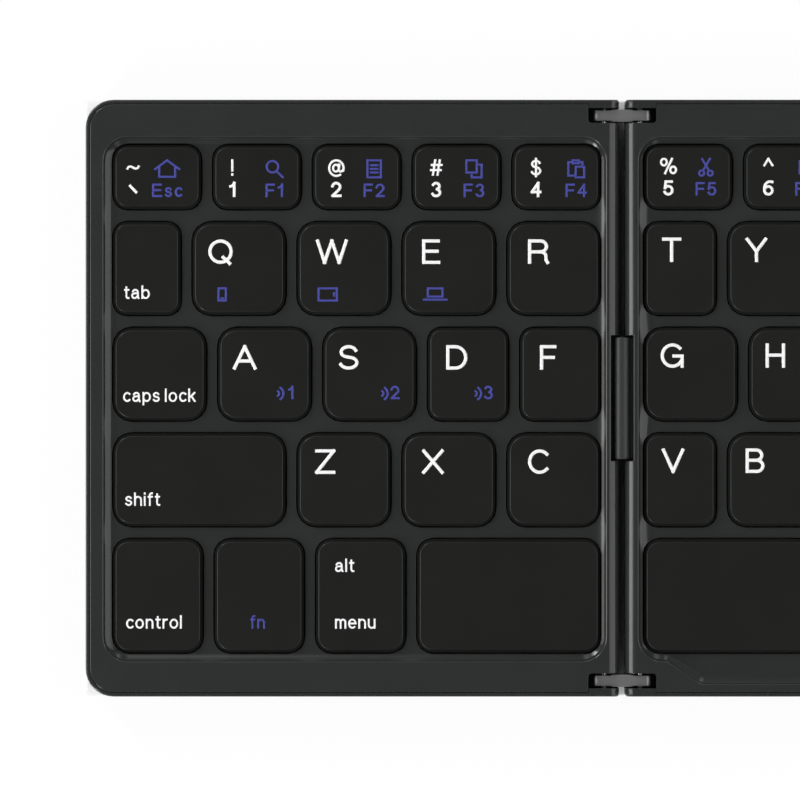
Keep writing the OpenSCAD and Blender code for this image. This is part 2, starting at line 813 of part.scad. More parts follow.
module hinge_link(h, s) {
    y = s * slot_y;
    x = hinge_x[h];
    half = pin_spacing / 2;
    difference() {
        union() {
            translate([0, y + link_t / 2, 0]) rotate([90, 0, 0]) linear_extrude(link_t) polygon(
                round_box(
                    x - half - link_r, z_pin - link_r, x + half + link_r, z_pin + link_r,
                    [link_r, link_r, link_nose_r, link_nose_r], corner_steps
                )
            );
            block(
                x - link_waist / 2, y - link_waist_t / 2, z_pin - link_r,
                x + link_waist / 2, y + link_waist_t / 2, z_pin + link_r
            );
        }
        for (e = [-1, 1]) bar(x + e * half, z_pin, pin_d, y - slot_w, y + slot_w);
    }
}
module hinge_links(h) { color("#b9bbbd") for (s = [-1, 1]) hinge_link(h, s); }
module left_hinge_links() { hinge_links(0); }
module right_hinge_links() { hinge_links(1); }

module hinge_pins(h) {
    color("#d6d8da") for (e = [-1, 1]) {
        x = hinge_x[h] + e * pin_spacing / 2;
        bar(x, z_pin, pin_d, pin_y0, pin_y1);
        bar(x, z_pin, pin_d, -pin_y1, -pin_y0);
    }
}
module left_hinge_pins() { hinge_pins(0); }
module right_hinge_pins() { hinge_pins(1); }

// Keys and click buttons

module key_cap(o, z_cap) {
    color("#222221") difference() {
        loft(
            [for (d = [0, 0, key_bevel]) inset_box(o, key_clear + d, key_steps)],
            [z_cap - key_t, z_cap - key_bevel_h, z_cap]
        );
        prism(inset_box(o, key_clear + key_wall, key_steps), z_cap - key_t - over, z_cap - key_t + key_hollow);
    }
}

module key(o) {
    key_cap(o, z_key_top);
    color("#222221") translate([(o[0] + o[2]) / 2, (o[1] + o[3]) / 2, z_boss])
        cylinder(d = boss_d, h = z_key_top - key_t + key_hollow - z_boss + eps);
}
module keys(list) { for (o = list) key(o); }
module keys_of_row(r) { keys(row_openings(centre, centre_rows, r)); }

module click_button(k) {
    o = click_openings[k];
    key_cap(o, z_pad);
    color("#222221") translate([(o[0] + o[2]) / 2, (o[1] + o[3]) / 2, z_click])
        cylinder(d = boss_d, h = key_hollow + eps);
}
module left_click_button() { click_button(0); }
module right_click_button() { click_button(1); }

centre_frame();
centre_bottom_case();
centre_switch_plate();
centre_dome_sheet();
controller_board();
charging_port();
indicator_lens();
centre_feet();
centre_magnets();
left_cable_bridge();
right_cable_bridge();
left_frame();
left_bottom_case();
left_switch_plate();
left_dome_sheet();
left_feet();
left_magnets();
right_frame();
right_bottom_case();
touchpad_plate();
touchpad_board();
click_switch_board();
battery();
right_feet();
right_magnets();
left_hinge_links();
left_hinge_pins();
right_hinge_links();
right_hinge_pins();
left_click_button();
right_click_button();
for (k = [0:len(left_key_names) - 1])
    key(left_openings[k]);
for (r = [0:len(centre_key_names) - 1])
    keys_of_row(r);
key(arrow_row[0]);  // key_right_space
keys(arrow_keys);  // keys_alt_and_arrows
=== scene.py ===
from math import cos, radians, sin

import bmesh
import bpy
from mathutils import Matrix, Vector


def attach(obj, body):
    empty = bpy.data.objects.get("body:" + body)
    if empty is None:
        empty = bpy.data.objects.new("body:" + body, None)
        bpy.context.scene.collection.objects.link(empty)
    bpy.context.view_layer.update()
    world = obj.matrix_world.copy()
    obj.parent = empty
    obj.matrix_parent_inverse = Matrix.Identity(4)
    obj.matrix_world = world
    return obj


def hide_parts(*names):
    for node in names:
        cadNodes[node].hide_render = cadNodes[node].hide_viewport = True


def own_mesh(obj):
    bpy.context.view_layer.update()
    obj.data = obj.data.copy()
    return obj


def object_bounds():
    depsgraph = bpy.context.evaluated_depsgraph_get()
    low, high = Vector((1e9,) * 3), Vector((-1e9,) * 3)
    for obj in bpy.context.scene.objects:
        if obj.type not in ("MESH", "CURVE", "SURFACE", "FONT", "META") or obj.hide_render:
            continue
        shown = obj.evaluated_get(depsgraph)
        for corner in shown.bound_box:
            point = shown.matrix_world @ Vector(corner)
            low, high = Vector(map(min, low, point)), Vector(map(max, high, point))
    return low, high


# Folding keyboard, laid open: black moulded frames and keys, printed legends, steel hinge links.
# +X is to the user's right, +Y to the rear, +Z up, in metres; mm turns millimetres into metres.

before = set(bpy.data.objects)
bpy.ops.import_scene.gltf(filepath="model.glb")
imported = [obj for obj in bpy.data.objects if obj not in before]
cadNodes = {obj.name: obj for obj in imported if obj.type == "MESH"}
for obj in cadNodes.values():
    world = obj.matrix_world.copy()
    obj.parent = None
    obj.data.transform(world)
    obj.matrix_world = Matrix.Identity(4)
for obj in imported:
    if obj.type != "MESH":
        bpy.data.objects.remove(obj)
cadLow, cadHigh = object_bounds()
mm = 0.001
print("frame loaded:", len(cadNodes), "CAD nodes")


# Small tools

skins = {
    "weld": 0.0005,  # mm, within which two points of a CAD node's triangles are one
    "flat": 0.4,  # degrees, up to which neighbouring triangles are one flat face
    "flatWeight": 90,  # pull of the large faces on the shading of the soft edges beside them
}


def addObject(name, data):
    thing = bpy.data.objects.new(name, data)
    bpy.context.scene.collection.objects.link(thing)
    return thing


def deselectAll():
    bpy.ops.object.select_all(action="DESELECT")


def activate(piece):
    deselectAll()
    piece.select_set(True)
    bpy.context.view_layer.objects.active = piece


def applyAll(piece):
    activate(piece)
    for modifier in list(piece.modifiers):
        bpy.ops.object.modifier_apply(modifier=modifier.name)


# Selects the vertices, edges or faces for which wanted says yes
def selectInEdit(piece, mode, wanted):
    bpy.ops.mesh.select_mode(type=mode)
    bpy.ops.mesh.select_all(action="DESELECT")
    shape = bmesh.from_edit_mesh(piece.data)
    for part in {"VERT": shape.verts, "EDGE": shape.edges, "FACE": shape.faces}[mode]:
        if wanted(part):
            part.select_set(True)
    shape.select_flush_mode()
    bmesh.update_edit_mesh(piece.data)


# Smooth shading in which the large flat faces stay flat beside their soft edges
def smooth(piece, degrees):
    activate(piece)
    bpy.ops.object.shade_smooth_by_angle(angle=radians(degrees))
    evenNormals = piece.modifiers.new("evenNormals", "WEIGHTED_NORMAL")
    evenNormals.keep_sharp = True
    evenNormals.weight = skins["flatWeight"]
    applyAll(piece)


# Rounds every edge that turns by more than an angle, with a width in millimetres
def softEdges(piece, width, angle, segments=2):
    bevel = piece.modifiers.new("softEdges", "BEVEL")
    bevel.width = width * mm
    bevel.segments = segments
    bevel.limit_method = "ANGLE"
    bevel.angle_limit = radians(angle)
    bevel.use_clamp_overlap = False
    bevel.miter_outer = "MITER_SHARP"
    applyAll(piece)


# Names a finished piece, gives it its finish and hangs it on its body
def settle(piece, name, finish, body, slot, *replaced):
    piece.name = name
    piece.data.name = name
    piece.data.materials.clear()
    piece.data.materials.append(finishes[finish])
    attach(piece, body)
    if replaced:
        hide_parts(*replaced)


def joined(pieces):
    activate(pieces[0])
    for piece in pieces:
        piece.select_set(True)
    if len(pieces) > 1:
        bpy.ops.object.join()
    return bpy.context.view_layer.objects.active


# A copy of a CAD node whose loose triangles are merged into one skin
def mergedCopy(node, weld=skins["weld"]):
    copy = addObject(node + "_copy", cadNodes[node].data.copy())
    activate(copy)
    bpy.ops.object.mode_set(mode="EDIT")
    bpy.ops.mesh.select_all(action="SELECT")
    bpy.ops.mesh.remove_doubles(threshold=weld * mm)
    bpy.ops.mesh.customdata_custom_splitnormals_clear()
    bpy.ops.mesh.dissolve_limited(angle_limit=radians(skins["flat"]))
    bpy.ops.object.mode_set(mode="OBJECT")
    return copy


# The lowest and highest corner of each separate solid in a CAD node, from left to right
def solidBoxes(node):
    activate(mergedCopy(node))
    bpy.ops.object.mode_set(mode="EDIT")
    bpy.ops.mesh.select_all(action="SELECT")
    bpy.ops.mesh.separate(type="LOOSE")
    bpy.ops.object.mode_set(mode="OBJECT")
    boxes = []
    for part in list(bpy.context.selected_objects):
        corners = [Vector(corner) for corner in part.bound_box]
        boxes.append((
            Vector([min(corner[i] for corner in corners) for i in range(3)]),
            Vector([max(corner[i] for corner in corners) for i in range(3)]),
        ))
        bpy.data.objects.remove(part)
    return sorted(boxes, key=lambda lowHigh: (round(lowHigh[0].x, 5), -lowHigh[0].y))


# Materials

# An sRGB hex colour as linear red, green, blue and alpha
def hexColour(text):
    parts = [int(text[i:i + 2], 16) / 255 for i in (1, 3, 5)]
    return tuple(c / 12.92 if c <= 0.04045 else ((c + 0.055) / 1.055) ** 2.4 for c in parts) + (1,)


# Adds a node with its settings, its socket values and its links; i0, i1 are sockets by number
def addNode(tree, kind, settings=None, **inputs):
    node = tree.nodes.new(kind)
    for key, value in (settings or {}).items():
        setattr(node, key, value)
    for key, value in inputs.items():
        socket = node.inputs[int(key[1:]) if key[1:].isdigit() else key.replace("_", " ")]
        if isinstance(value, bpy.types.NodeSocket):
            tree.links.new(value, socket)
        else:
            socket.default_value = value
    return node


# An empty material, its node tree and the place on the piece that its patterns follow
def newMaterial(name):
    material = bpy.data.materials.new(name)
    material.use_nodes = True
    material.node_tree.nodes.clear()
    tree = material.node_tree
    return material, tree, addNode(tree, "ShaderNodeTexCoord").outputs["Object"]


# Moulded plastic and rubber: the mould's spark-eroded skin leaves a fine even grain, which breaks up the
# shine. Real grain is about 0.05 mm wide, too fine to show, so it is drawn several times as coarse.
mouldedLook = {
    "cloudWidth": 9,  # mm, of the slow change of tone across a moulding
    "cloudSpan": (0.3, 0.7),  # values between which nearly all of the noise lies
    "grainSpan": (0.2, 0.8),
    "shineSpread": 0.06,  # of the roughness, from grain to grain
}


def mouldedPlastic(name, colour, roughness, grain, depth, mottle=0.06, ior=1.5, specular=0.4):
    material, tree, place = newMaterial(name)
    cloudLow, cloudHigh = mouldedLook["cloudSpan"]
    grainLow, grainHigh = mouldedLook["grainSpan"]
    spread = mouldedLook["shineSpread"]
    grainNoise = addNode(
        tree, "ShaderNodeTexNoise", Vector=place, Scale=1 / (grain * mm), Detail=2.0, Roughness=0.6)
    cloud = addNode(
        tree, "ShaderNodeTexNoise", Vector=place, Scale=1 / (mouldedLook["cloudWidth"] * mm), Detail=3.0)
    tone = addNode(
        tree, "ShaderNodeMapRange", Value=cloud.outputs["Fac"],
        From_Min=cloudLow, From_Max=cloudHigh, To_Min=1 - mottle, To_Max=1 + mottle)
    base = addNode(
        tree, "ShaderNodeVectorMath", {"operation": "SCALE"},
        Vector=hexColour(colour)[:3], Scale=tone.outputs[0])
    shine = addNode(
        tree, "ShaderNodeMapRange", Value=grainNoise.outputs["Fac"],
        From_Min=grainLow, From_Max=grainHigh, To_Min=roughness - spread, To_Max=roughness + spread)
    bump = addNode(
        tree, "ShaderNodeBump", Height=grainNoise.outputs["Fac"], Distance=depth * mm, Strength=1.0)
    shader = addNode(
        tree, "ShaderNodeBsdfPrincipled", Base_Color=base.outputs[0], Roughness=shine.outputs[0],
        Normal=bump.outputs[0], IOR=ior, Specular_IOR_Level=specular)
    addNode(tree, "ShaderNodeOutputMaterial", Surface=shader.outputs[0])
    return material


# Metal: fine lines along one way stretch the highlights across them, and an even grain blurs them all
# round. The real lines are a few hundredths of a millimetre wide, so these are drawn coarser to show.
metalLook = {
    "lineSpan": (0.25, 0.75),  # values between which nearly all of the noise lies
    "shine": (0.75, 1.3),  # times the roughness
    "tone": (0.94, 1.04),  # times the colour
}


def metal(name, colour, roughness, lineWidth, lineLength, depth, along):
    material, tree, place = newMaterial(name)
    lineLow, lineHigh = metalLook["lineSpan"]
    stretch = {
        "X": (1 / lineLength, 1 / lineWidth, 1 / lineWidth),
        "Y": (1 / lineWidth, 1 / lineLength, 1 / lineWidth),
        "all": (1 / lineWidth, 1 / lineWidth, 1 / lineWidth),
    }[along]
    lines = addNode(
        tree, "ShaderNodeMapping", Vector=place, Scale=tuple(s / mm for s in stretch))
    noise = addNode(
        tree, "ShaderNodeTexNoise", Vector=lines.outputs[0], Scale=1.0, Detail=3.0, Roughness=0.6)
    shine = addNode(
        tree, "ShaderNodeMapRange", Value=noise.outputs["Fac"], From_Min=lineLow, From_Max=lineHigh,
        To_Min=roughness * metalLook["shine"][0], To_Max=roughness * metalLook["shine"][1])
    tone = addNode(
        tree, "ShaderNodeMapRange", Value=noise.outputs["Fac"], From_Min=lineLow, From_Max=lineHigh,
        To_Min=metalLook["tone"][0], To_Max=metalLook["tone"][1])
    base = addNode(
        tree, "ShaderNodeVectorMath", {"operation": "SCALE"},
        Vector=hexColour(colour)[:3], Scale=tone.outputs[0])
    bump = addNode(
        tree, "ShaderNodeBump", Height=noise.outputs["Fac"], Distance=depth * mm, Strength=1.0)
    shader = addNode(
        tree, "ShaderNodeBsdfPrincipled", Base_Color=base.outputs[0], Metallic=1.0,
        Roughness=shine.outputs[0], Normal=bump.outputs[0])
    addNode(tree, "ShaderNodeOutputMaterial", Surface=shader.outputs[0])
    return material


# Pad-printed ink: flat, a little uneven in its cover, duller than the key under it
inkLook = {
    "patch": 0.35,  # mm, width of a thicker or thinner patch of ink
    "patchSpan": (0.3, 0.7),  # values between which nearly all of the noise lies
    "tone": (0.93, 1.0),  # times the colour
    "depth": 0.004,  # mm
    "roughness": 0.6,
}


def printedInk(name, colour):
    material, tree, place = newMaterial(name)
    noise = addNode(
        tree, "ShaderNodeTexNoise", Vector=place, Scale=1 / (inkLook["patch"] * mm), Detail=2.0)
    tone = addNode(
        tree, "ShaderNodeMapRange", Value=noise.outputs["Fac"],
        From_Min=inkLook["patchSpan"][0], From_Max=inkLook["patchSpan"][1],
        To_Min=inkLook["tone"][0], To_Max=inkLook["tone"][1])
    base = addNode(
        tree, "ShaderNodeVectorMath", {"operation": "SCALE"},
        Vector=hexColour(colour)[:3], Scale=tone.outputs[0])
    bump = addNode(
        tree, "ShaderNodeBump", Height=noise.outputs["Fac"], Distance=inkLook["depth"] * mm, Strength=1.0)
    shader = addNode(
        tree, "ShaderNodeBsdfPrincipled", Base_Color=base.outputs[0], Roughness=inkLook["roughness"],
        Normal=bump.outputs[0])
    addNode(tree, "ShaderNodeOutputMaterial", Surface=shader.outputs[0])
    return material


# Grain, lines and depths are in millimetres
finishes = {
    # ABS from a coarser mould: near black and satin, so the folding edges carry soft bands of light
    "frame": mouldedPlastic(
        "abs_frame_spark_eroded", "#2f3130", roughness=0.2, grain=0.3, depth=0.002, specular=0.5),
    "case": mouldedPlastic(
        "abs_case_spark_eroded", "#2c2e2d", roughness=0.25, grain=0.3, depth=0.003, specular=0.5),
    # ABS from a finer mould: darker than the frames and nearly without shine
    "key": mouldedPlastic(
        "abs_key_fine_matt", "#1f1f1e", roughness=0.32, grain=0.2, depth=0.001, specular=0.3),
    "click": mouldedPlastic(
        "abs_click_button_fine_matt", "#1f1f1e", roughness=0.32, grain=0.2, depth=0.001, specular=0.3),
    # Polyester film: flat, even and satin under a finger
    "pad": mouldedPlastic(
        "polyester_touch_film_satin", "#1e1f1f", roughness=0.36, grain=0.15, depth=0.002, mottle=0.03),
    # Soft TPU: a dull round sleeve, a shade paler than the frames
    "bridge": mouldedPlastic("tpu_cable_cover_smooth", "#343635", roughness=0.4, grain=0.5, depth=0.005),
    # Silicone rubber: matt and dusty, with no highlights
    "rubber": mouldedPlastic(
        "silicone_rubber_foot_matt", "#1a1a1a", roughness=0.8, grain=0.25, depth=0.02),
    "dome": mouldedPlastic(
        "silicone_dome_sheet_black", "#545454", roughness=0.6, grain=0.4, depth=0.01, mottle=0.03,
        ior=1.41),
    # Glass-fibre board under solder resist: cloudy green, half glossy
    "laminate": mouldedPlastic(
        "fr4_laminate_green_resist", "#1d4a2c", roughness=0.35, grain=0.6, depth=0.02, mottle=0.15),
    # Frosted polycarbonate: milky and pale
    "lens": mouldedPlastic(
        "polycarbonate_lens_frosted", "#e6e9ea", roughness=0.3, grain=0.2, depth=0.002, mottle=0.02,
        ior=1.58),
    # Bead-blasted stainless steel: mid grey with blurred highlights
    "link": metal("stainless_link_bead_blasted", "#a6a6a6", 0.45, 0.12, 0.3, 0.002, "X"),
    # Drawn stainless wire: bright, with lines along the pin
    "pin": metal("stainless_pin_drawn", "#b9bbbd", 0.2, 0.08, 2.5, 0.003, "Y"),
    # Nickel plate: warm grey and fairly bright
    "port": metal("nickel_plated_port_shell", "#b9b7b1", 0.25, 0.15, 0.15, 0.003, "all"),
    "magnet": metal("nickel_plated_magnet", "#b2b0aa", 0.22, 0.3, 0.3, 0.003, "all"),
    # Zinc-plated sheet: dull grey with the long lines of the rolling mill
    "plate": metal("zinc_plated_switch_plate", "#9fa2a4", 0.38, 0.6, 4.0, 0.006, "X"),
    # Aluminium pouch foil: pale and slightly crumpled
    "foil": metal("aluminium_laminate_battery_pouch", "#bfc1c2", 0.32, 1.2, 1.2, 0.05, "all"),
    "inkWhite": printedInk("pad_printed_ink_white", "#ffffff"),
    "inkBlue": printedInk("pad_printed_ink_blue", "#3f439c"),
}
print("materials made:", len(finishes))


# Frames and bottom cases: merged copies of the CAD shells, with the moulding's small soft edges

shells = {
    "bodies": {"centre": "centre_panel", "left": "left_wing", "right": "right_wing"},
    "kinds": [
        # CAD node after the panel's name, finish, slot, soft edge in mm
        ("frame", "frame", "shell_plastic", 0.12),
        ("bottom_case", "case", "case_plastic", 0.05),
    ],
    "weld": 0.02,
    "edgeAngle": 40,
    "smoothTo": 35,
}
for panel, body in shells["bodies"].items():
    for kind, finish, slot, edge in shells["kinds"]:
        node = panel + "_" + kind
        shell = mergedCopy(node, shells["weld"])
        softEdges(shell, edge, shells["edgeAngle"])
        smooth(shell, shells["smoothTo"])
        settle(shell, node + "_moulding", finish, body, slot, node)
print("frames and cases done")


# Keys: a cap with rounded corners and a soft top edge on a low, slightly wider foot, hollow underneath

keyCap = {
    "radius": {"number": 2.0, "letter": 2.7, "bottom": 2.2, "narrow": 1.8},
    "halfDepth": 8.5,  # shallower keys are the split arrow key's halves
    "numberDepth": 11.5,  # shallower keys are number keys
    "letterDepth": 15.5,  # deeper keys belong to the bottom row
    "narrowWidth": 13.5,
    "height": 2.1,
    "skirt": 0.38,  # how far the foot stands out round the cap
    "skirtDrop": 1.0,  # top of the foot below the cap's top
    "topRound": 0.2,
    "topSteps": 3,
    "cornerSteps": 7,
    "wall": 0.9,
    "hollow": 0.9,
    "smoothTo": 32,
}
upright = 0.9  # of a face's normal, past which it faces straight up or down


def keyRadius(width, depth):
    kind = "letter"
    if depth < keyCap["numberDepth"]:
        kind = "number" if depth > keyCap["halfDepth"] else "narrow"
    elif depth > keyCap["letterDepth"]:
        kind = "bottom"
    elif width < keyCap["narrowWidth"]:
        kind = "narrow"
    return keyCap["radius"][kind]


# One cap of a width and depth in metres, with the middle of its top at the origin
def modelKeyCap(width, depth):
    skirt, drop = keyCap["skirt"] * mm, keyCap["skirtDrop"] * mm
    footHeight = keyCap["height"] * mm - drop
    radius = keyRadius(width / mm, depth / mm) * mm
    deselectAll()
    bpy.ops.mesh.primitive_cube_add(
        size=1, location=(0, 0, -drop - footHeight / 2),
        scale=(width + 2 * skirt, depth + 2 * skirt, footHeight))
    cap = bpy.context.object
    bpy.ops.object.transform_apply(location=True, rotation=True, scale=True)
    bpy.ops.object.mode_set(mode="EDIT")
    selectInEdit(cap, "EDGE", lambda e: abs(e.verts[0].co.z - e.verts[1].co.z) > footHeight / 2)
    bpy.ops.mesh.bevel(offset=radius + skirt, segments=keyCap["cornerSteps"], affect="EDGES")
    selectInEdit(cap, "FACE", lambda f: f.normal.z > upright)
    bpy.ops.mesh.inset(thickness=skirt)
    bpy.ops.mesh.extrude_region_move(TRANSFORM_OT_translate={"value": (0, 0, drop)})
    selectInEdit(cap, "EDGE", lambda e: all(v.co.z > -drop / 4 for v in e.verts))
    bpy.ops.mesh.bevel(offset=keyCap["topRound"] * mm, segments=keyCap["topSteps"], affect="EDGES")
    selectInEdit(cap, "FACE", lambda f: f.normal.z < -upright)
    bpy.ops.mesh.inset(thickness=keyCap["wall"] * mm + skirt)
    bpy.ops.mesh.extrude_region_move(TRANSFORM_OT_translate={"value": (0, 0, keyCap["hollow"] * mm)})
    bpy.ops.object.mode_set(mode="OBJECT")
    smooth(cap, keyCap["smoothTo"])
    return cap


capShapes = {}


# Each size of cap is modelled once, and every key of that size is a copy with a mesh of its own
def capFor(low, high):
    width, depth = high.x - low.x, high.y - low.y
    size = (round(width / mm, 3), round(depth / mm, 3))
    if size not in capShapes:
        capShapes[size] = modelKeyCap(width, depth)
    cap = addObject("cap", capShapes[size].data.copy())
    cap.data.transform(Matrix.Translation(((low.x + high.x) / 2, (low.y + high.y) / 2, high.z)))
    return cap


def modelKeys(node, boxes, finish, slot):
    settle(joined([capFor(low, high) for low, high in boxes]), node + "_caps", finish, node, slot, node)


keyBoxes = {node: solidBoxes(node) for node in cadNodes if node.startswith("key")}
for node, boxes in keyBoxes.items():
    modelKeys(node, boxes, "key", "key_plastic")
print("keys done:", sum(len(boxes) for boxes in keyBoxes.values()))

for node in ("left_click_button", "right_click_button"):
    modelKeys(node, solidBoxes(node), "click", "click_plastic")
for shape in capShapes.values():
    bpy.data.objects.remove(shape)
print("click buttons done, sizes of cap:", len(capShapes))


# Legends: printed letters and marks, each row of them a thin film of ink on its keys

legendStyle = {
    "film": 0.02,  # thickness of the ink
    "layer": 0.0004,  # step between crossing strokes, so no two faces lie in one plane
    "iconStroke": 0.35,
    "sharpTurn": 35,  # degrees
    "runOn": 0.45,  # of the stroke's width, past each end
    "samePoint": 0.001,  # mm, up to which two points of a stroke are one
    "space": 0.28,
    # height over all, stroke width, and the space between two letters in cap heights
    "letter": (4.06, 0.55, 0.3),
    "pair": (2.9, 0.45, 0.3),
    "symbol": (2.74, 0.37, 0.3),
    "digit": (2.54, 0.45, 0.3),
    "blue": (2.24, 0.36, 0.42),
    "word": (2.24, 0.31, 0.31),
}


def arc(cx, cy, rx, ry, start, end, steps=12):
    return [
        (cx + rx * cos(radians(start + (end - start) * k / steps)),
         cy + ry * sin(radians(start + (end - start) * k / steps)))
        for k in range(steps + 1)
    ]


# A closed oval, whose last point is exactly its first
def ring(cx, cy, rx, ry):
    points = arc(cx, cy, rx, ry, 0, 360, 20)
    return points[:-1] + [points[0]]


